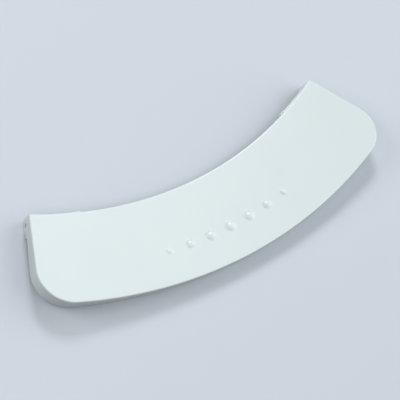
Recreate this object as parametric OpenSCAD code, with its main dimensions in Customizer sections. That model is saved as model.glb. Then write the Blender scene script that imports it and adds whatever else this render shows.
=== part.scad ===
// Door handle of a front-loading washing machine, moulded in one piece.
// It is a flat arc that follows the door ring: a thin sloping plate with walls round its
// underside, a hinge ear at each end of its inner edge and a row of grip bumps.
// All of it is laid out about the centre of the door ring, with the face up, and is then
// tilted so that it lies on a table on its two ears and the middle of its outer wall.

/* [Plate] */
// Radius of the inner edge, about the centre of the door ring
inner_r = 165; // [145:1:190]
// Width of the plate, from its inner edge to its outer edge
plate_w = 39.3; // [36:0.1:48]
// Half of the angle that the handle spans on the door ring
half_angle = 26.5; // [23:0.5:32]
// Radius of the two outer corners, seen from above
corner_r = 14.3; // [6:0.1:16]
// How much lower the inner edge of the face lies than its outer edge
face_drop = 12.1; // [10:0.1:14]
// Thickness of the plate
plate_t = 2.2; // [1.6:0.1:2.6]

/* [Walls] */
// Thickness of the walls
wall_t = 2; // [1.4:0.1:3]
// Height of the outer wall at its middle
wall_h = 6.8; // [5.5:0.1:8.5]
// Slope of the flat rim that the walls end on
rim_slope = 12.4; // [10:0.1:13.5]

/* [Hinge] */
// Diameter of the hinge pins
pin_d = 2; // [1.6:0.1:3]
// Clearance between a pin and its bore, on the diameter
pin_gap = 0.2; // [0.1:0.05:0.4]
// Radius of the eye round each bore
eye_r = 3.2; // [2.8:0.1:3.8]
// Depth of the pins below the inner edge of the face
pin_depth = 6.2; // [5.8:0.1:7]
// Thickness of an ear, along the inner edge
ear_t = 4; // [2.6:0.1:5]
// How far an ear stands back from the inner edge
ear_back = 0.2; // [0.1:0.1:0.8]
// Distance from the pin to the outer end of an ear
ear_reach = 4.6; // [4:0.1:7]
// How far the outer end of an ear stands below the rim
ear_step = 2.2; // [0.8:0.1:2.4]
// Length of the low wall on the inner edge, from each end
low_wall_len = 23; // [14:0.5:30]
// Height of that low wall
low_wall_h = 4.8; // [3:0.1:4.8]
// How far the low wall stands proud of the inner edge where it meets its post
low_wall_proud = 0.5; // [0.1:0.1:0.7]
// Radius of the post that ends the low wall
post_r = 1.6; // [1.2:0.1:2]
// How far the post stands proud of the inner edge
post_proud = 0.8; // [0.2:0.1:1.1]
// Depth of the top of the post, from the face
post_top = 1.5; // [1.2:0.1:1.8]
// Height of the post
post_h = 3.8; // [3:0.1:5.2]

/* [Grip bumps] */
// Number of bumps
bump_n = 7; // [3:2:9]
// Distance from the outer edge to the row of bumps
bump_in = 14.4; // [8:0.1:20]
// Distance from one bump to the next
bump_pitch = 10.1; // [7:0.1:12]
// Radius of the middle bump
bump_r = 2.6; // [1.8:0.1:3.4]
// Height of the middle bump
bump_h = 0.9; // [0.5:0.1:1.4]
// How much smaller the radius of the last bump is than that of the middle one
bump_fade = 1; // [0:0.1:1.2]

/* [Underside] */
// Distance from the inner edge to the long rib
rib_in = 13; // [11:0.5:18]
// Thickness of the ribs
rib_t = 1.4; // [1:0.1:2]
// How far the ribs stay short of the rim
rib_set = 0.8; // [0.4:0.1:1.5]
// Number of cross ribs on each side of the middle
rib_n = 3; // [1:1:3]
// Distance from one cross rib to the next, along the long rib
rib_pitch = 19; // [13:0.5:20]
// Length of the latch pad, under the middle of the inner edge
pad_len = 16; // [8:0.5:20]
// Width of the latch pad
pad_w = 5; // [3:0.1:7]
// Distance from the inner edge to the latch pad
pad_in = 2; // [1:0.1:4]
// How far the latch pad stands below the rim
pad_step = 1; // [0.5:0.1:1.2]

/* [Hidden] */
$fn = 96;
outer_r = inner_r + plate_w;
reach = outer_r + 20;
lap = 1;
nick = 0.5;
face_slope = atan(face_drop / plate_w);
// The centres of the outer corners lie on a ray short of the end by this angle
corner_angle = asin(corner_r / (outer_r - corner_r));
corner_ray = half_angle - corner_angle;
corner_at = [(outer_r - corner_r) * sin(corner_ray), -(outer_r - corner_r) * cos(corner_ray)];
pin_y = -(inner_r + ear_back) * cos(half_angle) - eye_r;
pin_z = -face_drop - pin_depth;
// Every cutting shape reaches well below the eyes
depth = 2 * (eye_r - pin_z);
ear_angle = ear_t / inner_r * 180 / PI;
post_angle = half_angle - (low_wall_len - post_r) / inner_r * 180 / PI;
// The low wall leaves the inner edge at this point, under the middle of the ear
wall_from = inner_r * [sin(half_angle - ear_angle / 2), -cos(half_angle - ear_angle / 2)];
wall_turn = asin(low_wall_proud / (low_wall_len - post_r - ear_t / 2));
bump_line = outer_r - bump_in;
bump_step = bump_pitch / bump_line * 180 / PI;
bump_side = floor(bump_n / 2);
rib_r = inner_r + rib_in;
rib_step = rib_pitch / rib_r * 180 / PI;
// The table touches the middle of the outer wall's rim and both eyes
rest_y = pin_y + outer_r;
rest_z = -wall_h - pin_z;
rest_tilt = atan(rest_z / rest_y) + asin(eye_r / norm([rest_y, rest_z]));
rest_drop = outer_r * sin(rest_tilt) + wall_h * cos(rest_tilt);
front_y = -outer_r * cos(rest_tilt);
back_y = (pin_y + eye_r) * cos(rest_tilt) - (pin_z - eye_r + nick) * sin(rest_tilt);

function face_z(r) = -face_drop * (outer_r - r) / plate_w;
function rim_z(y) = -wall_h - tan(rim_slope) * (y + outer_r);

// Plan of the plate, its outer edge and ends moved inwards by inset
module plan(inset, inner) {
    apex = [0, -inset / sin(half_angle)];
    side = reach * [sin(half_angle), -cos(half_angle)];
    difference() {
        intersection() {
            circle(r = outer_r - inset, $fn = 360);
            polygon([apex, apex + side, apex + [0, -reach], apex + [-side[0], side[1]]]);
        }
        circle(r = inner, $fn = 360);
        for (s = [0, 1]) mirror([s, 0]) corner_relief(corner_r - inset);
    }
}

// What is cut off outside the round of one corner
module corner_relief(r) {
    along = 2 * corner_r * [sin(corner_ray), -cos(corner_ray)];
    across = 2 * corner_r * [cos(half_angle), sin(half_angle)];
    translate(corner_at) difference() {
        polygon([[0, 0], along, along + across, across]);
        circle(r = r);
    }
}

module plan_prism(inset, inner) {
    translate([0, 0, -depth]) linear_extrude(depth + lap) plan(inset, inner);
}

// Everything below the sloping face, sunk by some depth
module under_face(sink) {
    near = inner_r - 20;
    rotate_extrude($fn = 360)
        polygon([[near, -depth], [reach, -depth], [reach, face_z(reach) - sink],
                 [near, face_z(near) - sink]]);
}

// Everything above the flat rim, raised by some height
module above_rim(rise) {
    translate([0, -outer_r, rise - wall_h]) rotate([-rim_slope, 0, 0])
        translate([-reach, -reach / 2, 0]) cube([2 * reach, reach, depth]);
}

// A wall between two radii and two angles, from above the face down
module arc_wall(r0, r1, a0, a1) {
    rotate([0, 0, a0 - 90]) rotate_extrude(angle = a1 - a0, $fn = 360)
        translate([r0, -depth]) square([r1 - r0, depth + lap]);
}

// The plate and the walls round its outer edge and ends, which stop on a flat rim
module shell() {
    difference() {
        intersection() {
            plan_prism(0, inner_r);
            under_face(0);
            above_rim(0);
        }
        intersection() {
            plan_prism(wall_t, inner_r - lap);
            under_face(plate_t);
        }
    }
}

// Side view of an ear about its pin: the eye, squared off well past the inner edge
module ear_outline() {
    foot_y = pin_y - ear_reach;
    foot_z = rim_z(foot_y) - ear_step;
    top_z = lap - pin_z;
    circle(r = eye_r);
    polygon([[0, -eye_r], [eye_r + lap, -eye_r], [eye_r + lap, top_z], [-ear_reach, top_z],
             [-ear_reach, foot_z - pin_z]]);
}

// An ear ends on an arc a little back from the inner edge, with its lower edge cut off
module ear() {
    near = inner_r + ear_back;
    foot = pin_z - eye_r;
    intersection() {
        translate([0, pin_y, pin_z]) rotate([90, 0, 90]) linear_extrude(reach) ear_outline();
        rotate([0, 0, half_angle - ear_angle - 90]) rotate_extrude(angle = 2 * ear_angle, $fn = 360)
            polygon([[near, foot + nick], [near + nick + lap, foot - lap], [reach, foot - lap],
                     [reach, lap], [near, lap]]);
        plan_prism(0, inner_r);
        under_face(plate_t / 2);
    }
}

// One bore along the line through both ears
module pin_bores() {
    translate([0, pin_y, pin_z]) rotate([0, 90, 0])
        cylinder(d = pin_d + pin_gap, h = 2 * reach, center = true, $fn = 48);
}

// The low wall that runs from an ear to its post and comes out of the inner edge on its way
module low_wall() {
    difference() {
        intersection() {
            translate(wall_from) rotate([0, 0, -wall_turn]) translate(-wall_from)
                arc_wall(inner_r, inner_r + wall_t, post_angle, half_angle + ear_angle);
            plan_prism(0, inner_r - lap);
            under_face(plate_t / 2);
        }
        under_face(low_wall_h);
    }
}

// The post that ends the low wall and stops the handle's swing
module stop_post() {
    rotate([0, 0, post_angle])
        translate([0, post_proud - post_r - inner_r, -face_drop - post_top - post_h])
            cylinder(r = post_r, h = post_h, $fn = 48);
}

module bumps() {
    intersection() {
        for (k = [-bump_side:bump_side]) {
            r = bump_r - bump_fade * pow(k / bump_side, 2);
            h = bump_h * r / bump_r;
            ball = (r * r + h * h) / (2 * h);
            rotate([0, 0, k * bump_step]) translate([0, -bump_line, face_z(bump_line)])
                rotate([-face_slope, 0, 0]) translate([0, 0, h - ball]) sphere(r = ball, $fn = 64);
        }
        difference() {
            under_face(-2 * bump_h);
            under_face(plate_t / 2);
        }
    }
}

// The long rib and the cross ribs, which stop short of the rim
module ribs() {
    intersection() {
        union() {
            arc_wall(rib_r - rib_t / 2, rib_r + rib_t / 2, -half_angle, half_angle);
            for (k = [1:rib_n], s = [-1, 1]) rotate([0, 0, s * k * rib_step])
                translate([-rib_t / 2, -rib_r, -depth]) cube([rib_t, rib_in, depth]);
        }
        plan_prism(wall_t / 2, inner_r + wall_t / 2);
        under_face(plate_t / 2);
        above_rim(rib_set);
    }
}

// The pad that works the latch, rounded underneath along its length
module latch_pad() {
    y = -inner_r - pad_in - pad_w / 2;
    foot = rim_z(y) - pad_step;
    intersection() {
        translate([-pad_len / 2, y, foot + pad_w / 2]) union() {
            rotate([0, 90, 0]) cylinder(d = pad_w, h = pad_len, $fn = 48);
            translate([0, -pad_w / 2, 0]) cube([pad_len, pad_w, depth]);
        }
        under_face(plate_t / 2);
    }
}

// Lays the handle on a table, with the middle of its box over the origin
module lay_down() {
    translate([0, -(front_y + back_y) / 2, rest_drop]) rotate([rest_tilt, 0, 0]) children();
}

module door_handle() {
    color("#E2ECED") lay_down() difference() {
        union() {
            shell();
            for (s = [0, 1]) mirror([s, 0, 0]) {
                ear();
                low_wall();
                stop_post();
            }
            ribs();
            latch_pad();
            bumps();
        }
        pin_bores();
    }
}

door_handle();
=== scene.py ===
"""Door handle of a front-loading washing machine: its visible surface, studio and camera.

The handle is one moulding of white ABS. It is built here as one closed mesh with softened edges,
in millimetres about the centre of the door ring with the face up, and is then laid on the floor
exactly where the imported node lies.
"""
import logging
import math
from dataclasses import dataclass, field
from enum import Enum
from typing import Callable, Iterable, Sequence

import bpy
import bmesh
import numpy as np
from mathutils import Matrix, Vector


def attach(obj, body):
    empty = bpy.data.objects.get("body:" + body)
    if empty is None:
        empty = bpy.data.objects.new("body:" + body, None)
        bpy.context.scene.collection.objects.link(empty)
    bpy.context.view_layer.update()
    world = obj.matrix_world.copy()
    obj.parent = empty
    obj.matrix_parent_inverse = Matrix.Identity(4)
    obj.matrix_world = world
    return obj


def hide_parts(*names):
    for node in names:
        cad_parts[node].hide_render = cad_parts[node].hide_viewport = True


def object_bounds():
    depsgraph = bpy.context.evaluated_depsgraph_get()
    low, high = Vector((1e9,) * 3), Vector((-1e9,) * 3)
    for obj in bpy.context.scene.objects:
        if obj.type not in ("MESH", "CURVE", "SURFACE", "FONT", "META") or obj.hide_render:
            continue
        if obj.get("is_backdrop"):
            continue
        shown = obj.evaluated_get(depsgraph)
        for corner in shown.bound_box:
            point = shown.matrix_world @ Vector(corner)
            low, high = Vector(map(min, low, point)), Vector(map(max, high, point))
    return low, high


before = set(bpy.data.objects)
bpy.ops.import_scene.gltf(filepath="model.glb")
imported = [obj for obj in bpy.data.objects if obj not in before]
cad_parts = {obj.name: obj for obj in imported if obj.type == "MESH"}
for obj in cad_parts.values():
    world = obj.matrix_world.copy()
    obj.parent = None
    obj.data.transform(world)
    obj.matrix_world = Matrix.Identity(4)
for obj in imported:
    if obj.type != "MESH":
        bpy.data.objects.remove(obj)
CAD_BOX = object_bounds()

LOG = logging.getLogger("door_handle")
BODY = "root"
NODE = "door_handle"
MM = 0.001

Point = tuple[float, float]


class Side(Enum):
    """The two ends of the handle, by the sign of their X."""

    LEFT = -1
    RIGHT = 1


class Join(Enum):
    """How one closed shape changes another."""

    ADD = "UNION"
    CUT = "DIFFERENCE"
    KEEP = "INTERSECT"


def linear(hex_colour: str) -> tuple[float, float, float, float]:
    """Turns an sRGB hex colour into the linear colour that a shader reads.

    Args:
        hex_colour: Six hex digits, such as "E2ECED".

    Returns:
        Linear red, green, blue and an alpha of 1.
    """
    parts = [int(hex_colour[i:i + 2], 16) / 255 for i in (0, 2, 4)]
    red, green, blue = (c / 12.92 if c <= 0.04045 else ((c + 0.055) / 1.055) ** 2.4 for c in parts)
    return red, green, blue, 1.0


def add_node(tree: bpy.types.NodeTree, kind: str, settings: dict | None = None,
             values: dict | None = None) -> bpy.types.Node:
    """Adds a node, sets its options and fills or links its inputs.

    Args:
        tree: The shader or geometry tree that gets the node.
        kind: The node's type name.
        settings: Option names and their values.
        values: Input names or numbers, each with a plain value or an output socket to link.

    Returns:
        The new node.
    """
    node = tree.nodes.new(kind)
    for name, value in (settings or {}).items():
        setattr(node, name, value)
    for key, value in (values or {}).items():
        if isinstance(value, bpy.types.NodeSocket):
            tree.links.new(value, node.inputs[key])
        else:
            node.inputs[key].default_value = value
    return node


def mesh_object(name: str, points: Iterable[Sequence[float]],
                faces: Iterable[Sequence[int]]) -> bpy.types.Object:
    """Makes an object from points and faces, with its faces turned outwards.

    Args:
        name: Name of the new object.
        points: Corner points in millimetres.
        faces: Point numbers round each face.

    Returns:
        The linked object.
    """
    mesh = bpy.data.meshes.new(name)
    mesh.from_pydata([tuple(p) for p in points], [], [tuple(f) for f in faces])
    made = bmesh.new()
    made.from_mesh(mesh)
    bmesh.ops.remove_doubles(made, verts=made.verts, dist=1e-6)
    bmesh.ops.recalc_face_normals(made, faces=made.faces)
    made.to_mesh(mesh)
    made.free()
    obj = bpy.data.objects.new(name, mesh)
    bpy.context.scene.collection.objects.link(obj)
    return obj


def bake(obj: bpy.types.Object) -> None:
    """Turns an object's live modifiers into its plain mesh.

    Args:
        obj: The object, whose modifiers are removed.
    """
    graph = bpy.context.evaluated_depsgraph_get()
    graph.update()
    old = obj.data
    obj.data = bpy.data.meshes.new_from_object(obj.evaluated_get(graph))
    obj.modifiers.clear()
    bpy.data.meshes.remove(old)


def combine(obj: bpy.types.Object, tool: bpy.types.Object, join: Join) -> None:
    """Adds a closed shape to another, cuts it away or keeps what both share.

    Args:
        obj: The shape that is changed.
        tool: The other shape, which is used up.
        join: What is done with it.
    """
    change = obj.modifiers.new(join.name, "BOOLEAN")
    change.operation = join.value
    change.solver = "EXACT"
    change.object = tool
    bake(obj)
    bpy.data.objects.remove(tool)


def soften(obj: bpy.types.Object, radius: float, least_deg: float = 40.0) -> None:
    """Rounds the sharp edges of a closed shape.

    Args:
        obj: The shape that is changed.
        radius: Radius of the rounded edges.
        least_deg: Edges where the faces turn by less than this stay as they are.
    """
    change = obj.modifiers.new("soften", "BEVEL")
    change.limit_method = "ANGLE"
    change.angle_limit = math.radians(least_deg)
    change.width = radius
    change.segments = 4
    change.use_clamp_overlap = True
    bake(obj)


@dataclass(frozen=True)
class Layout:
    """The driving sizes of the handle, in millimetres and degrees, and the places that follow."""

    inner_r: float = 165.0
    plate_w: float = 39.3
    half_angle_deg: float = 26.5
    corner_r: float = 14.3
    face_drop: float = 12.1
    plate_t: float = 2.2
    wall_t: float = 2.0
    wall_h: float = 6.8
    rim_slope_deg: float = 12.4
    pin_depth: float = 6.2
    eye_r: float = 3.2
    ear_back: float = 0.2
    nick: float = 0.5

    @property
    def outer_r(self) -> float:
        """Radius of the outer edge."""
        return self.inner_r + self.plate_w

    @property
    def half_angle(self) -> float:
        """Half of the angle that the handle spans, in radians."""
        return math.radians(self.half_angle_deg)

    @property
    def face_slope(self) -> float:
        """Slope of the face down to its inner edge, in radians."""
        return math.atan(self.face_drop / self.plate_w)

    @property
    def corner_ray(self) -> float:
        """Angle of the ray that carries the centre of an outer corner, in radians."""
        return self.half_angle - math.asin(self.corner_r / (self.outer_r - self.corner_r))

    @property
    def pin_y(self) -> float:
        """Y of the line through both hinge bores."""
        return -(self.inner_r + self.ear_back) * math.cos(self.half_angle) - self.eye_r

    @property
    def pin_z(self) -> float:
        """Z of the line through both hinge bores."""
        return -self.face_drop - self.pin_depth

    def face_z(self, r: float) -> float:
        """Height of the sloping face at a radius."""
        return -self.face_drop * (self.outer_r - r) / self.plate_w

    def rim_z(self, y: float) -> float:
        """Height of the flat rim at a Y."""
        return -self.wall_h - math.tan(math.radians(self.rim_slope_deg)) * (y + self.outer_r)

    def resting(self) -> Matrix:
        """Works out how the handle comes to lie on the floor.

        The floor touches the middle of the outer wall's rim and both hinge eyes.

        Returns:
            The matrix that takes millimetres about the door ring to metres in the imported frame.
        """
        rest_y = self.pin_y + self.outer_r
        rest_z = -self.wall_h - self.pin_z
        tilt = math.atan(rest_z / rest_y) + math.asin(self.eye_r / math.hypot(rest_y, rest_z))
        drop = self.outer_r * math.sin(tilt) + self.wall_h * math.cos(tilt)
        front_y = -self.outer_r * math.cos(tilt)
        foot_z = self.pin_z - self.eye_r + self.nick
        back_y = (self.pin_y + self.eye_r) * math.cos(tilt) - foot_z * math.sin(tilt)
        place = Vector((0, -(front_y + back_y) / 2, drop))
        return Matrix.Scale(MM, 4) @ Matrix.Translation(place) @ Matrix.Rotation(tilt, 4, "X")


def polar(r: float, angle: float) -> Point:
    """Point at a radius and at an angle from the -Y axis towards +X."""
    return r * math.sin(angle), -r * math.cos(angle)


def arc_points(centre: Point, r: float, start: Point, end: Point, count: int) -> list[Point]:
    """Points along an arc, from one direction to another by the short way.

    Args:
        centre: Centre of the arc.
        r: Radius of the arc.
        start: Direction from the centre to the first point.
        end: Direction from the centre to the last point.
        count: Number of steps.

    Returns:
        count + 1 points.
    """
    first = math.atan2(start[1], start[0])
    turn = (math.atan2(end[1], end[0]) - first + math.pi) % (2 * math.pi) - math.pi
    angles = (first + turn * k / count for k in range(count + 1))
    return [(centre[0] + r * math.cos(a), centre[1] + r * math.sin(a)) for a in angles]


@dataclass(frozen=True)
class Steps:
    """How finely the outline is divided. Opposite sides have the same number of steps."""

    small_corner: int = 4
    end_line: int = 50
    big_corner: int = 24
    arc_side: int = 60
    arc_middle: int = 200
    middle_angle: float = 0.19

    def spread(self, limit: float, side: int) -> list[float]:
        """Angles along an arc, close together in its middle, where the bumps are.

        Args:
            limit: Angle at either end of the arc.
            side: Number of steps on each side of the middle.

        Returns:
            Angles from -limit to limit.
        """
        outer = np.linspace(-limit, -self.middle_angle, side + 1)[:-1]
        middle = np.linspace(-self.middle_angle, self.middle_angle, self.arc_middle + 1)
        return [*outer, *middle, *(-outer[::-1])]


@dataclass(frozen=True)
class Outline:
    """Plan of the plate, its outer edge and ends moved inwards by an inset."""

    layout: Layout
    steps: Steps
    inner_r: float
    inner_round: float
    inset: float

    def right_end(self) -> tuple[list[Point], float, float]:
        """Outline of the right end, from the inner edge to the outer one.

        Returns:
            Its points, from the middle of the small corner's start on the inner arc to the big
            corner's end on the outer arc, and the angles of those two ends.
        """
        lay, steps = self.layout, self.steps
        along = polar(1, lay.half_angle)
        inward = (-math.cos(lay.half_angle), -math.sin(lay.half_angle))
        small_r = max(self.inner_round - self.inset, 0.05)
        reach = self.inner_r + self.inset + small_r
        shift = self.inset + small_r
        run = math.sqrt(reach ** 2 - shift ** 2)
        small = (run * along[0] + shift * inward[0], run * along[1] + shift * inward[1])
        outward = (-inward[0], -inward[1])
        first = arc_points(small, small_r, (-small[0], -small[1]), outward, 2 * steps.small_corner)
        big = polar(lay.outer_r - lay.corner_r, lay.corner_ray)
        last = arc_points(big, lay.corner_r - self.inset, outward, big, 2 * steps.big_corner)
        a, b = first[-1], last[0]
        shares = np.linspace(0, 1, steps.end_line + 1)[1:-1]
        line = [(a[0] + (b[0] - a[0]) * s, a[1] + (b[1] - a[1]) * s) for s in shares]
        return [*first, *line, *last], math.atan2(small[0], -small[1]), lay.corner_ray

    def sides(self) -> tuple[list[Point], list[Point], list[Point], list[Point]]:
        """The inner, outer, left and right sides, which meet halfway round the corners."""
        steps = self.steps
        end, inner_angle, outer_angle = self.right_end()
        mirrored = [(-x, y) for x, y in end]
        s, b = steps.small_corner, steps.big_corner
        outer_side = steps.arc_side + s - b
        inner_arc = [polar(self.inner_r + self.inset, a)
                     for a in steps.spread(inner_angle, steps.arc_side)]
        outer_arc = [polar(self.layout.outer_r - self.inset, a)
                     for a in steps.spread(outer_angle, outer_side)]
        inner = [*mirrored[s:0:-1], *inner_arc, *end[1:s + 1]]
        outer = [*mirrored[-b - 1:-1], *outer_arc, *end[-2:-b - 2:-1]]
        return inner, outer, mirrored[s:-b], end[s:-b]

    def loop(self) -> list[Point]:
        """The closed outline: inner side, right side, outer side back and left side back."""
        inner, outer, left, right = self.sides()
        return [*inner[:-1], *right[:-1], *outer[:0:-1], *left[:0:-1]]

    def grid(self) -> list[list[Point]]:
        """Rows of points that fill the outline, blended from its sides in polar coordinates.

        Returns:
            Rows from the inner side to the outer one, each from left to right.
        """
        inner, outer, left, right = (
            np.array([(math.atan2(x, -y), math.hypot(x, y)) for x, y in side])
            for side in self.sides())
        u = (self.shares(inner) + self.shares(outer)) / 2
        v = self.shares(left)
        rows = []
        for j, t in enumerate(v):
            corners = ((1 - t) * ((1 - u)[:, None] * inner[0] + u[:, None] * inner[-1])
                       + t * ((1 - u)[:, None] * outer[0] + u[:, None] * outer[-1]))
            row = ((1 - t) * inner + t * outer + (1 - u)[:, None] * left[j]
                   + u[:, None] * right[j] - corners)
            rows.append([polar(r, a) for a, r in row])
        return rows

    def shares(self, side: np.ndarray) -> np.ndarray:
        """How far along a side each of its points lies, from 0 to 1."""
        flat = np.column_stack([side[:, 0] * self.inner_r, side[:, 1]])
        gone = np.concatenate([[0], np.cumsum(np.linalg.norm(np.diff(flat, axis=0), axis=1))])
        return gone / gone[-1]


@dataclass(frozen=True)
class Block:
    """A closed block under the face: its top follows the face and its edges are softened."""

    name: str
    layout: Layout
    steps: Steps
    foot: Callable[[float], float]
    inset: float = 0.0
    inner_gain: float = 0.0
    inner_round: float = 0.5
    sink: float = 0.0
    top_round: float = 0.6
    foot_round: float = 0.4
    round_steps: int = 6

    def outline(self, more: float) -> Outline:
        """Outline of the block, moved further inwards."""
        lay = self.layout
        inner_r = lay.inner_r + self.inner_gain - self.inset
        return Outline(lay, self.steps, inner_r, self.inner_round + self.inset, self.inset + more)

    def build(self) -> bpy.types.Object:
        """Builds the block.

        Returns:
            The closed object.
        """
        top = self.outline(self.top_round)
        rows = top.grid()
        wide, deep = len(rows[0]), len(rows)
        points = [(x, y, self.top_z(x, y)) for row in rows for x, y in row]
        faces = [(j * wide + i, j * wide + i + 1, (j + 1) * wide + i + 1, (j + 1) * wide + i)
                 for j in range(deep - 1) for i in range(wide - 1)]
        border = [*range(wide - 1), *(j * wide + wide - 1 for j in range(deep - 1)),
                  *((deep - 1) * wide + i for i in range(wide - 1, 0, -1)),
                  *(j * wide for j in range(deep - 1, 0, -1))]
        for ring in self.rings():
            new = list(range(len(points), len(points) + len(ring)))
            points += ring
            faces += [(border[k], border[(k + 1) % len(border)], new[(k + 1) % len(new)], new[k])
                      for k in range(len(border))]
            border = new
        faces.append(tuple(border))
        return mesh_object(self.name, points, faces)

    def top_z(self, x: float, y: float) -> float:
        """Height of the block's top over a point of the plan."""
        return self.layout.face_z(math.hypot(x, y)) - self.sink

    def rings(self) -> list[list[tuple[float, float, float]]]:
        """Rings of points round the top edge, down the side and round the foot.

        Returns:
            The rings from the top down, the last of them flat on the foot.
        """
        found = []
        for k in range(1, self.round_steps + 1):
            turn = math.pi / 2 * k / self.round_steps
            plan = self.outline(self.top_round * (1 - math.sin(turn))).loop()
            fall = self.top_round * (1 - math.cos(turn))
            found.append([(x, y, self.top_z(x, y) - fall) for x, y in plan])
        for k in range(self.round_steps // 2 + 1):
            turn = math.pi / 2 * k / (self.round_steps // 2)
            plan = self.outline(self.foot_round * (1 - math.cos(turn))).loop()
            rise = self.foot_round * (1 - math.sin(turn))
            found.append([(x, y, self.foot(y) + rise) for x, y in plan])
        return found


def arc_sweep(name: str, section: Callable[[float], list[tuple[float, float]]], start: float,
              end: float, count: int) -> bpy.types.Object:
    """Sweeps a section about the centre of the door ring.

    Args:
        name: Name of the new object.
        section: Gives the section's corners as radius and height at an angle.
        start: Angle of the first section, in radians.
        end: Angle of the last section, in radians.
        count: Number of steps.

    Returns:
        The closed object.
    """
    points, faces = [], []
    for k in range(count + 1):
        angle = start + (end - start) * k / count
        points += [(*polar(r, angle), z) for r, z in section(angle)]
    size = len(section(start))
    for k in range(count):
        for i in range(size):
            j = (i + 1) % size
            faces.append((k * size + i, k * size + j, (k + 1) * size + j, (k + 1) * size + i))
    faces += [tuple(range(size)), tuple(count * size + i for i in range(size))]
    return mesh_object(name, points, faces)


def extrude_x(name: str, outline: list[tuple[float, float]], start: float,
              end: float) -> bpy.types.Object:
    """Extrudes a side view along X.

    Args:
        name: Name of the new object.
        outline: Corners of the side view as Y and Z.
        start: X of one face.
        end: X of the other face.

    Returns:
        The closed object.
    """
    size = len(outline)
    points = [(x, y, z) for x in (start, end) for y, z in outline]
    faces = [(i, (i + 1) % size, size + (i + 1) % size, size + i) for i in range(size)]
    faces += [tuple(range(size)), tuple(range(size, 2 * size))]
    return mesh_object(name, points, faces)


@dataclass(frozen=True)
class HingeEnds:
    """The ears, their bores, the low walls beside them and the posts that end those walls."""

    layout: Layout
    pin_d: float = 2.0
    pin_gap: float = 0.2
    ear_t: float = 4.0
    ear_reach: float = 4.6
    ear_step: float = 2.2
    low_wall_len: float = 23.0
    low_wall_h: float = 4.8
    low_wall_proud: float = 0.5
    post_r: float = 1.6
    post_proud: float = 0.8
    post_top: float = 1.5
    post_h: float = 3.8
    round_count: int = 40
    edge_r: float = 0.25

    @property
    def post_angle(self) -> float:
        """Angle of the post's axis, in radians."""
        lay = self.layout
        return lay.half_angle - (self.low_wall_len - self.post_r) / lay.inner_r

    def ear(self, side: Side) -> bpy.types.Object:
        """Builds the ear at one end."""
        lay = self.layout
        foot_y = lay.pin_y - self.ear_reach
        foot_z = lay.rim_z(foot_y) - self.ear_step
        low, top = lay.pin_z - lay.eye_r, lay.face_z(lay.inner_r) - lay.plate_t / 2
        eye = [(lay.pin_y - lay.eye_r * math.sin(a), lay.pin_z - lay.eye_r * math.cos(a))
               for a in np.linspace(0, math.radians(62), self.round_count // 4)]
        back = lay.pin_y + lay.eye_r + 3
        outline = [(back, low), *eye, (foot_y, foot_z), (foot_y, top), (back, top)]
        ear = extrude_x("ear", outline, side.value * 40, side.value * 110)
        near, span = lay.inner_r + lay.ear_back, self.ear_t / lay.inner_r
        section = [(near, low + lay.nick), (near + lay.nick + 2, low - 2), (lay.outer_r, low - 2),
                   (lay.outer_r, 5), (near, 5)]
        ends = sorted((side.value * (lay.half_angle - span), side.value * (lay.half_angle - 1e-4)))
        combine(ear, arc_sweep("ear_span", lambda a: section, *ends, 24), Join.KEEP)
        soften(ear, self.edge_r)
        return ear

    def low_wall(self, side: Side) -> bpy.types.Object:
        """Builds the low wall, which comes out of the inner edge on its way to the post."""
        lay = self.layout
        near, far = lay.inner_r, lay.inner_r + lay.wall_t
        section = [(near, lay.face_z(near) - lay.plate_t / 2), (far, lay.face_z(far) - lay.plate_t / 2),
                   (far, lay.face_z(far) - self.low_wall_h), (near, lay.face_z(near) - self.low_wall_h)]
        inside = lay.half_angle - lay.wall_t / 2 / lay.inner_r
        ends = sorted((side.value * self.post_angle, side.value * inside))
        wall = arc_sweep("low_wall", lambda a: section, *ends, 30)
        soften(wall, self.edge_r)
        turn = math.asin(self.low_wall_proud / (self.low_wall_len - self.post_r - self.ear_t / 2))
        start = polar(lay.inner_r, side.value * (lay.half_angle - self.ear_t / 2 / lay.inner_r))
        pivot = Matrix.Translation((*start, 0))
        swing = Matrix.Rotation(-side.value * turn, 4, "Z")
        wall.data.transform(pivot @ swing @ pivot.inverted())
        return wall

    def post(self, side: Side) -> bpy.types.Object:
        """Builds the round post that ends the low wall."""
        lay = self.layout
        x, y = polar(lay.inner_r - self.post_proud + self.post_r, side.value * self.post_angle)
        top = -lay.face_drop - self.post_top
        post = self.upright("post", (x, y), self.post_r, top - self.post_h, top)
        soften(post, self.edge_r)
        return post

    def upright(self, name: str, centre: Point, r: float, low: float,
                high: float) -> bpy.types.Object:
        """Builds an upright cylinder."""
        turns = [2 * math.pi * k / self.round_count for k in range(self.round_count)]
        ring = [(centre[0] + r * math.cos(a), centre[1] + r * math.sin(a)) for a in turns]
        n = len(ring)
        points = [(x, y, z) for z in (low, high) for x, y in ring]
        faces = [(i, (i + 1) % n, n + (i + 1) % n, n + i) for i in range(n)]
        return mesh_object(name, points, faces + [tuple(range(n)), tuple(range(n, 2 * n))])

    def bore(self) -> bpy.types.Object:
        """Builds the round cutter along the line through both ears."""
        lay = self.layout
        r = (self.pin_d + self.pin_gap) / 2
        turns = [2 * math.pi * k / self.round_count for k in range(self.round_count)]
        ring = [(lay.pin_y + r * math.cos(a), lay.pin_z + r * math.sin(a)) for a in turns]
        return extrude_x("bore", ring, -110, 110)

    def dress(self, body: bpy.types.Object) -> None:
        """Adds the ears, low walls and posts to the body and drills the bores.

        Args:
            body: The plate with its walls.
        """
        for side in Side:
            combine(body, self.ear(side), Join.ADD)
            combine(body, self.low_wall(side), Join.ADD)
            combine(body, self.post(side), Join.ADD)
        combine(body, self.bore(), Join.CUT)


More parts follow.
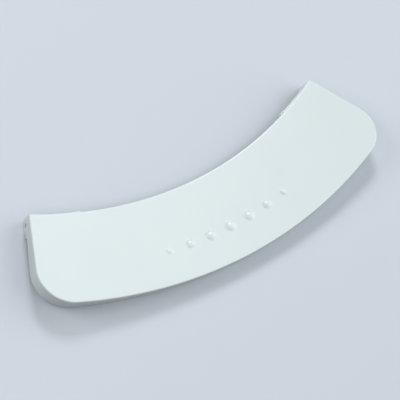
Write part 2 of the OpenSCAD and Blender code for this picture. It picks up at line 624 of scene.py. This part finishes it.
@dataclass(frozen=True)
class Underside:
    """The stiffening ribs and the pad that works the latch."""

    layout: Layout
    steps: Steps
    rib_in: float = 13.0
    rib_t: float = 1.4
    rib_set: float = 0.8
    rib_n: int = 3
    rib_pitch: float = 19.0
    pad_len: float = 16.0
    pad_w: float = 5.0
    pad_in: float = 2.0
    pad_step: float = 1.0
    edge_r: float = 0.25

    def envelope(self) -> bpy.types.Object:
        """Builds the space that ribs may fill, short of the rim and sunk into plate and walls."""
        lay = self.layout
        return Block("rib_space", lay, self.steps, lambda y: lay.rim_z(y) + self.rib_set,
                     inset=lay.wall_t / 2, inner_gain=lay.wall_t, inner_round=0.3,
                     sink=lay.plate_t / 2, top_round=0.1, foot_round=0.1, round_steps=2).build()

    def long_rib(self) -> bpy.types.Object:
        """Builds the rib that runs from end to end."""
        lay = self.layout
        r0 = lay.inner_r + self.rib_in - self.rib_t / 2
        section = [(r0, -40), (r0 + self.rib_t, -40), (r0 + self.rib_t, 5), (r0, 5)]
        return arc_sweep("long_rib", lambda a: section, -lay.half_angle, lay.half_angle, 120)

    def cross_rib_tree(self) -> bpy.types.NodeTree:
        """Builds the tree that sets cross ribs out along the long rib.

        Returns:
            A geometry tree with named inputs for its sizes.
        """
        tree = bpy.data.node_groups.new("cross_ribs", "GeometryNodeTree")
        face = tree.interface
        face.new_socket("Geometry", in_out="OUTPUT", socket_type="NodeSocketGeometry")
        face.new_socket("Geometry", in_out="INPUT", socket_type="NodeSocketGeometry")
        for name, kind in (("Count each side", "Int"), ("Angle step", "Float"), ("Radius", "Float"),
                           ("Length", "Float"), ("Thickness", "Float"), ("Height", "Float")):
            face.new_socket(name, in_out="INPUT", socket_type="NodeSocket" + kind)
        given = add_node(tree, "NodeGroupInput").outputs
        index = add_node(tree, "GeometryNodeInputIndex").outputs[0]
        count = self.maths(tree, "MULTIPLY_ADD", given["Count each side"], 2.0, 1.0)
        line = add_node(tree, "GeometryNodeMeshLine", values={"Count": count}).outputs[0]
        number = self.maths(tree, "SUBTRACT", index, given["Count each side"])
        angle = self.maths(tree, "MULTIPLY", number, given["Angle step"])
        middle = self.maths(tree, "MULTIPLY_ADD", given["Length"], -0.5, given["Radius"])
        x = self.maths(tree, "MULTIPLY", middle, self.maths(tree, "SINE", angle))
        y = self.maths(tree, "MULTIPLY", middle, self.maths(tree, "COSINE", angle))
        minus_y = self.maths(tree, "MULTIPLY", y, -1.0)
        place = add_node(tree, "ShaderNodeCombineXYZ", values={"X": x, "Y": minus_y}).outputs[0]
        points = add_node(tree, "GeometryNodeSetPosition",
                          values={"Geometry": line, "Position": place}).outputs[0]
        size = add_node(tree, "ShaderNodeCombineXYZ", values={
            "X": given["Thickness"], "Y": given["Length"], "Z": given["Height"]}).outputs[0]
        bar = add_node(tree, "GeometryNodeMeshCube", values={"Size": size}).outputs[0]
        turn = add_node(tree, "ShaderNodeCombineXYZ", values={"Z": angle}).outputs[0]
        wanted = add_node(tree, "ShaderNodeMath", {"operation": "ABSOLUTE"}, {0: number}).outputs[0]
        chosen = self.maths(tree, "GREATER_THAN", wanted, 0.5)
        spread = add_node(tree, "GeometryNodeInstanceOnPoints", values={
            "Points": points, "Instance": bar, "Rotation": turn, "Selection": chosen}).outputs[0]
        real = add_node(tree, "GeometryNodeRealizeInstances", values={"Geometry": spread}).outputs[0]
        done = add_node(tree, "GeometryNodeSetMaterial", values={"Geometry": real}).outputs[0]
        add_node(tree, "NodeGroupOutput", values={"Geometry": done})
        return tree

    @staticmethod
    def maths(tree: bpy.types.NodeTree, operation: str, *terms: object) -> bpy.types.NodeSocket:
        """Adds one step of arithmetic and gives its result."""
        node = add_node(tree, "ShaderNodeMath", {"operation": operation}, dict(enumerate(terms)))
        return node.outputs[0]

    def cross_ribs(self) -> bpy.types.Object:
        """Builds the cross ribs with their geometry tree."""
        lay = self.layout
        radius = lay.inner_r + self.rib_in
        sizes = {"Count each side": self.rib_n, "Angle step": self.rib_pitch / radius,
                 "Radius": radius, "Length": self.rib_in, "Thickness": self.rib_t, "Height": 80.0}
        return grow("cross_ribs", mesh_object("cross_ribs", [], []), self.cross_rib_tree(), sizes)

    def pad(self) -> bpy.types.Object:
        """Builds the latch pad, rounded underneath along its length."""
        lay = self.layout
        y = -lay.inner_r - self.pad_in - self.pad_w / 2
        low = lay.rim_z(y) - self.pad_step
        r = self.pad_w / 2
        turns = np.linspace(math.pi, 2 * math.pi, 17)
        top = lay.face_z(-y) - lay.plate_t / 2 - 0.3
        outline = [(y + r * math.cos(a), low + r + r * math.sin(a)) for a in turns]
        outline += [(y + r, top), (y - r, top)]
        pad = extrude_x("pad", outline, -self.pad_len / 2, self.pad_len / 2)
        soften(pad, self.edge_r)
        return pad

    def dress(self, body: bpy.types.Object) -> None:
        """Adds the ribs and the pad to the body.

        Args:
            body: The plate with its walls.
        """
        for rib in (self.long_rib(), self.cross_ribs()):
            combine(rib, self.envelope(), Join.KEEP)
            soften(rib, self.edge_r)
            combine(body, rib, Join.ADD)
        combine(body, self.pad(), Join.ADD)


def grow(name: str, obj: bpy.types.Object, tree: bpy.types.NodeTree,
         sizes: dict[str, float]) -> bpy.types.Object:
    """Runs a geometry tree on an object and keeps the result as its plain mesh.

    Args:
        name: Name that the object gets.
        obj: The object that the tree works on.
        tree: The tree, with one named input for each size.
        sizes: Values of those inputs.

    Returns:
        The same object.
    """
    change = obj.modifiers.new(name, "NODES")
    change.node_group = tree
    for socket in tree.interface.items_tree:
        if socket.item_type == "SOCKET" and socket.in_out == "INPUT" and socket.name in sizes:
            change[socket.identifier] = sizes[socket.name]
    bake(obj)
    obj.name = name
    return obj


@dataclass(frozen=True)
class GripBumps:
    """The row of low round bumps on the face, which blend into it at their feet."""

    layout: Layout
    count: int = 7
    row_in: float = 14.4
    pitch: float = 10.1
    radius: float = 2.6
    height: float = 0.9
    fade: float = 1.0
    blend: float = 0.12
    margin: float = 0.6
    cuts: int = 3

    def tree(self, material: bpy.types.Material) -> bpy.types.NodeTree:
        """Builds the tree that raises the bumps out of the face.

        Args:
            material: The finish of the raised surface.

        Returns:
            A geometry tree with named inputs for its sizes.
        """
        maths = Underside.maths
        tree = bpy.data.node_groups.new("grip_bumps", "GeometryNodeTree")
        face = tree.interface
        face.new_socket("Geometry", in_out="OUTPUT", socket_type="NodeSocketGeometry")
        face.new_socket("Geometry", in_out="INPUT", socket_type="NodeSocketGeometry")
        for name in ("Last number", "Angle step", "Row radius", "Bump radius", "Bump height",
                     "Fade", "Blend", "Outer radius", "Slope"):
            face.new_socket(name, in_out="INPUT", socket_type="NodeSocketFloat")
        given = add_node(tree, "NodeGroupInput").outputs
        place = add_node(tree, "GeometryNodeInputPosition").outputs[0]
        split = add_node(tree, "ShaderNodeSeparateXYZ", values={0: place}).outputs
        minus_y = maths(tree, "MULTIPLY", split["Y"], -1.0)
        angle = maths(tree, "ARCTAN2", split["X"], minus_y)
        nearest = maths(tree, "ROUND", maths(tree, "DIVIDE", angle, given["Angle step"]))
        low = maths(tree, "MULTIPLY", given["Last number"], -1.0)
        number = maths(tree, "MINIMUM", maths(tree, "MAXIMUM", nearest, low), given["Last number"])
        share = maths(tree, "DIVIDE", number, given["Last number"])
        shrink = maths(tree, "MULTIPLY", maths(tree, "MULTIPLY", share, share), given["Fade"])
        radius = maths(tree, "SUBTRACT", given["Bump radius"], shrink)
        ratio = maths(tree, "DIVIDE", given["Bump height"], given["Bump radius"])
        height = maths(tree, "MULTIPLY", radius, ratio)
        middle = maths(tree, "MULTIPLY", number, given["Angle step"])
        slope = given["Slope"]
        plan_r = maths(tree, "SQRT", maths(tree, "ADD", maths(tree, "MULTIPLY", split["X"], split["X"]),
                                           maths(tree, "MULTIPLY", split["Y"], split["Y"])))
        face_at = maths(tree, "MULTIPLY", maths(tree, "SUBTRACT", plan_r, given["Outer radius"]),
                        maths(tree, "TANGENT", slope))
        row_z = maths(tree, "MULTIPLY", maths(tree, "SUBTRACT", given["Row radius"],
                                              given["Outer radius"]), maths(tree, "TANGENT", slope))
        centre = add_node(tree, "ShaderNodeCombineXYZ", values={
            "X": maths(tree, "MULTIPLY", given["Row radius"], maths(tree, "SINE", middle)),
            "Y": maths(tree, "MULTIPLY", maths(tree, "MULTIPLY", given["Row radius"],
                                               maths(tree, "COSINE", middle)), -1.0),
            "Z": row_z}).outputs[0]
        away = add_node(tree, "ShaderNodeVectorMath", {"operation": "DISTANCE"},
                        {0: place, 1: centre}).outputs["Value"]
        squares = maths(tree, "ADD", maths(tree, "MULTIPLY", radius, radius),
                        maths(tree, "MULTIPLY", height, height))
        ball = maths(tree, "DIVIDE", squares, maths(tree, "MULTIPLY", height, 2.0))
        under = maths(tree, "SUBTRACT", maths(tree, "MULTIPLY", ball, ball),
                      maths(tree, "MULTIPLY", away, away))
        dome = maths(tree, "SUBTRACT", maths(tree, "SQRT", maths(tree, "MAXIMUM", under, 0.0)),
                     maths(tree, "SUBTRACT", ball, height))
        rise = maths(tree, "SMOOTH_MAX", dome, 0.0, given["Blend"])
        near = maths(tree, "COMPARE", split["Z"], face_at, 0.3)
        back = maths(tree, "MULTIPLY", maths(tree, "SINE", slope), -1.0)
        normal = add_node(tree, "ShaderNodeCombineXYZ", values={
            "X": maths(tree, "MULTIPLY", back, maths(tree, "SINE", angle)),
            "Y": maths(tree, "MULTIPLY", maths(tree, "MULTIPLY", back,
                                               maths(tree, "COSINE", angle)), -1.0),
            "Z": maths(tree, "COSINE", slope)}).outputs[0]
        lift = add_node(tree, "ShaderNodeVectorMath", {"operation": "SCALE"},
                        {0: normal, "Scale": maths(tree, "MULTIPLY", rise, near)}).outputs[0]
        moved = add_node(tree, "GeometryNodeSetPosition",
                         values={"Geometry": given["Geometry"], "Offset": lift}).outputs[0]
        real = add_node(tree, "GeometryNodeRealizeInstances", values={"Geometry": moved}).outputs[0]
        done = add_node(tree, "GeometryNodeSetMaterial",
                        values={"Geometry": real, "Material": material}).outputs[0]
        add_node(tree, "NodeGroupOutput", values={"Geometry": done})
        return tree

    def refine(self, body: bpy.types.Object) -> None:
        """Divides the face more finely round each bump.

        Args:
            body: The finished body, still in millimetres about the door ring.
        """
        row_r = self.layout.outer_r - self.row_in
        last = self.count // 2
        places = [(*polar(row_r, k * self.pitch / row_r), self.layout.face_z(row_r))
                  for k in range(-last, last + 1)]
        made = bmesh.new()
        made.from_mesh(body.data)
        reach = self.radius + self.margin
        near = [f for f in made.faces if f.normal.z > 0.5
                and any((f.calc_center_median() - Vector(p)).length < reach for p in places)]
        edges = list({edge for f in near for edge in f.edges})
        bmesh.ops.subdivide_edges(made, edges=edges, cuts=self.cuts, use_grid_fill=True)
        made.to_mesh(body.data)
        made.free()

    def dress(self, body: bpy.types.Object, material: bpy.types.Material) -> None:
        """Raises the bumps out of the body's face.

        Args:
            body: The finished body, still in millimetres about the door ring.
            material: The finish of its surface.
        """
        self.refine(body)
        lay = self.layout
        row_r = lay.outer_r - self.row_in
        sizes = {"Last number": float(self.count // 2), "Angle step": self.pitch / row_r,
                 "Row radius": row_r, "Bump radius": self.radius, "Bump height": self.height,
                 "Fade": self.fade, "Blend": self.blend, "Outer radius": lay.outer_r,
                 "Slope": lay.face_slope}
        grow(body.name, body, self.tree(material), sizes)


@dataclass(frozen=True)
class MouldedAbs:
    """Injection-moulded ABS from a polished tool.

    It gives the eye a cool, slightly bluish white with a soft gloss, faint wide ripples where the
    plastic shrank over its ribs and walls, and a very fine, even skin.
    """

    name: str = "moulded_abs_white"
    colour: str = "E2ECED"
    shade: str = "DCE8EA"
    roughness: float = 0.25
    ior: float = 1.53
    skin_mm: float = 0.9
    ripple_mm: float = 22.0

    def build(self) -> bpy.types.Material:
        """Builds the material.

        Returns:
            A node material that reads Object coordinates.
        """
        material = bpy.data.materials.new(self.name)
        material.use_nodes = True
        tree = material.node_tree
        tree.nodes.clear()
        place = add_node(tree, "ShaderNodeTexCoord").outputs["Object"]
        ripple = add_node(tree, "ShaderNodeTexNoise", values={
            "Vector": place, "Scale": 1 / (self.ripple_mm * MM), "Detail": 1.0}).outputs[0]
        skin = add_node(tree, "ShaderNodeTexNoise", values={
            "Vector": place, "Scale": 1 / (self.skin_mm * MM), "Detail": 3.0}).outputs[0]
        tint = add_node(tree, "ShaderNodeMix", {"data_type": "RGBA"}, {
            0: ripple, 6: linear(self.colour), 7: linear(self.shade)}).outputs[2]
        gloss = add_node(tree, "ShaderNodeMapRange", values={
            0: skin, 3: self.roughness - 0.03, 4: self.roughness + 0.03}).outputs[0]
        wide = add_node(tree, "ShaderNodeBump", values={
            "Strength": 0.12, "Distance": 0.2 * MM, "Height": ripple}).outputs[0]
        fine = add_node(tree, "ShaderNodeBump", values={
            "Strength": 0.06, "Distance": 0.02 * MM, "Height": skin, "Normal": wide}).outputs[0]
        shader = add_node(tree, "ShaderNodeBsdfPrincipled", values={
            "Base Color": tint, "Roughness": gloss, "IOR": self.ior, "Normal": fine})
        add_node(tree, "ShaderNodeOutputMaterial", values={"Surface": shader.outputs[0]})
        return material


@dataclass
class DoorHandle:
    """The whole handle, one moulding."""

    layout: Layout = field(default_factory=Layout)
    steps: Steps = field(default_factory=Steps)
    finish: MouldedAbs = field(default_factory=MouldedAbs)
    sharp_deg: float = 32.0
    weld_mm: float = 0.002

    def shell(self) -> bpy.types.Object:
        """Builds the plate and the walls round its outer edge and ends."""
        lay = self.layout
        body = Block(NODE + "_moulding", lay, self.steps, lay.rim_z).build()
        coarse = Steps(small_corner=2, end_line=12, big_corner=8, arc_side=16, arc_middle=20)
        hollow = Block("hollow", lay, coarse, lambda y: -40.0, inset=lay.wall_t,
                       inner_gain=-2.0, inner_round=0.3, sink=lay.plate_t, top_round=0.8,
                       foot_round=0.1).build()
        combine(body, hollow, Join.CUT)
        return body

    def build(self) -> bpy.types.Object:
        """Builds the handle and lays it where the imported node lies.

        Returns:
            The finished piece, which rides on the body and stands for the node.
        """
        lay = self.layout
        coarse = Steps(small_corner=2, end_line=12, big_corner=8, arc_side=16, arc_middle=20)
        body = self.shell()
        HingeEnds(lay).dress(body)
        Underside(lay, coarse).dress(body)
        self.weld(body)
        material = self.finish.build()
        GripBumps(lay).dress(body, material)
        body.data.transform(lay.resting())
        self.smooth(body)
        body.data.materials.clear()
        body.data.materials.append(material)
        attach(body, BODY)
        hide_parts(NODE)
        LOG.info("%s: %d faces", body.name, len(body.data.polygons))
        return body

    def weld(self, body: bpy.types.Object) -> None:
        """Joins the points that the cuts left on top of each other, which closes their seams."""
        made = bmesh.new()
        made.from_mesh(body.data)
        bmesh.ops.remove_doubles(made, verts=made.verts, dist=self.weld_mm)
        bmesh.ops.dissolve_degenerate(made, edges=made.edges, dist=self.weld_mm)
        made.to_mesh(body.data)
        made.free()

    def smooth(self, body: bpy.types.Object) -> None:
        """Shades the curved faces smooth and keeps the sharp edges."""
        body.data.polygons.foreach_set("use_smooth", [True] * len(body.data.polygons))
        body.data.set_sharp_from_angle(angle=math.radians(self.sharp_deg))
        weigh = body.modifiers.new("weighted_normals", "WEIGHTED_NORMAL")
        weigh.keep_sharp = True
        bake(body)


@dataclass(frozen=True)
class Lamp:
    """A soft rectangular lamp that points at the handle."""

    name: str
    azimuth_deg: float
    elevation_deg: float
    distance: float
    width: float
    height: float
    power: float

    def build(self, target: Vector) -> bpy.types.Object:
        """Builds the lamp.

        Args:
            target: Point that it faces, in metres.

        Returns:
            The lamp object.
        """
        data = bpy.data.lights.new(self.name, "AREA")
        data.shape = "RECTANGLE"
        data.size, data.size_y = self.width, self.height
        data.energy = self.power
        lamp = bpy.data.objects.new(self.name, data)
        a, e = math.radians(self.azimuth_deg), math.radians(self.elevation_deg)
        away = Vector((math.sin(a) * math.cos(e), -math.cos(a) * math.cos(e), math.sin(e)))
        lamp.location = target + away * self.distance
        lamp.rotation_euler = away.to_track_quat("Z", "Y").to_euler()
        bpy.context.scene.collection.objects.link(lamp)
        return lamp


@dataclass(frozen=True)
class Studio:
    """A plain pale floor, soft lamps and the photograph's camera.

    The board shows its pale paint to the camera and in reflections. It throws less light back
    than that paint would, so that the walls stay darker than the face.
    """

    floor_colour: str = "CED6DF"
    floor_bounce: str = "959596"
    floor_size: float = 6.0
    world_colour: str = "FFFFFF"
    world_strength: float = 0.18
    aim: tuple[float, float, float] = (-0.004108, 0.001858, 0.005)
    azimuth_deg: float = -55.749
    elevation_deg: float = 58.023
    roll_deg: float = 24.465
    distance: float = 0.60748
    focal_mm: float = 129.38
    sensor_mm: float = 36.0

    def floor(self) -> bpy.types.Object:
        """Builds the floor that the handle lies on."""
        half = self.floor_size / 2
        corners = [(-half, -half, 0), (half, -half, 0), (half, half, 0), (-half, half, 0)]
        floor = mesh_object("floor", corners, [(0, 1, 2, 3)])
        material = bpy.data.materials.new("painted_board")
        material.use_nodes = True
        tree = material.node_tree
        tree.nodes.clear()
        place = add_node(tree, "ShaderNodeTexCoord").outputs["Object"]
        grain = add_node(tree, "ShaderNodeTexNoise", values={"Vector": place, "Scale": 40.0}).outputs[0]
        rough = add_node(tree, "ShaderNodeMapRange", values={0: grain, 3: 0.85, 4: 0.95}).outputs[0]
        path = add_node(tree, "ShaderNodeLightPath").outputs
        seen = path["Is Camera Ray"]
        for other in ("Is Glossy Ray", "Is Transmission Ray"):
            seen = add_node(tree, "ShaderNodeMath", {"operation": "MAXIMUM"},
                            {0: seen, 1: path[other]}).outputs[0]
        colour = add_node(tree, "ShaderNodeMix", {"data_type": "RGBA"}, {
            0: seen, 6: linear(self.floor_bounce), 7: linear(self.floor_colour)}).outputs[2]
        shader = add_node(tree, "ShaderNodeBsdfPrincipled", values={
            "Base Color": colour, "Roughness": rough, "Specular IOR Level": 0.1})
        add_node(tree, "ShaderNodeOutputMaterial", values={"Surface": shader.outputs[0]})
        floor.data.materials.append(material)
        floor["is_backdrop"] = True
        return floor

    def world(self) -> None:
        """Lights the scene evenly from all round."""
        world = bpy.data.worlds.new("studio")
        world.use_nodes = True
        tree = world.node_tree
        tree.nodes.clear()
        light = add_node(tree, "ShaderNodeBackground", values={
            "Color": linear(self.world_colour), "Strength": self.world_strength})
        add_node(tree, "ShaderNodeOutputWorld", values={"Surface": light.outputs[0]})
        bpy.context.scene.world = world

    def camera(self) -> bpy.types.Object:
        """Builds the camera at the photograph's place, angle and roll."""
        data = bpy.data.cameras.new("camera")
        data.lens, data.sensor_width = self.focal_mm, self.sensor_mm
        data.clip_start, data.clip_end = 0.01, 20.0
        camera = bpy.data.objects.new("camera", data)
        a, e = math.radians(self.azimuth_deg), math.radians(self.elevation_deg)
        back = Vector((math.sin(a) * math.cos(e), -math.cos(a) * math.cos(e), math.sin(e)))
        right = Vector((math.cos(a), math.sin(a), 0))
        up = back.cross(right)
        upright = Matrix((right, up, back)).transposed().to_4x4()
        place = Matrix.Translation(Vector(self.aim) + back * self.distance)
        camera.matrix_world = place @ upright @ Matrix.Rotation(math.radians(self.roll_deg), 4, "Z")
        bpy.context.scene.collection.objects.link(camera)
        bpy.context.scene.camera = camera
        return camera

    def build(self) -> None:
        """Builds floor, world, lamps and camera."""
        scene = bpy.context.scene
        scene.view_settings.view_transform = "Standard"
        self.floor()
        self.world()
        target = Vector(self.aim)
        Lamp("back", 152.0, 44.0, 1.1, 0.3, 0.3, 4.4).build(target)
        Lamp("side", 95.0, 28.0, 1.1, 0.8, 0.8, 1.8).build(target)
        Lamp("right", 55.0, 35.0, 1.0, 1.2, 1.2, 6.2).build(target)
        Lamp("left", -125.0, 35.0, 0.7, 0.4, 0.4, 1.5).build(target)
        Lamp("front", -56.0, 50.0, 0.55, 0.3, 0.3, 0.5).build(target)
        self.camera()


def corners(box: tuple[Vector, Vector]) -> list[list[float]]:
    """A box's two corners as plain lists."""
    return [list(corner) for corner in box]


def main() -> None:
    """Builds the handle and the studio."""
    logging.basicConfig(level=logging.INFO, format="%(name)s %(message)s")
    DoorHandle().build()
    Studio().build()
    {"cad": corners(CAD_BOX), "visual": corners(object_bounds())}


if __name__ == "__main__":
    main()
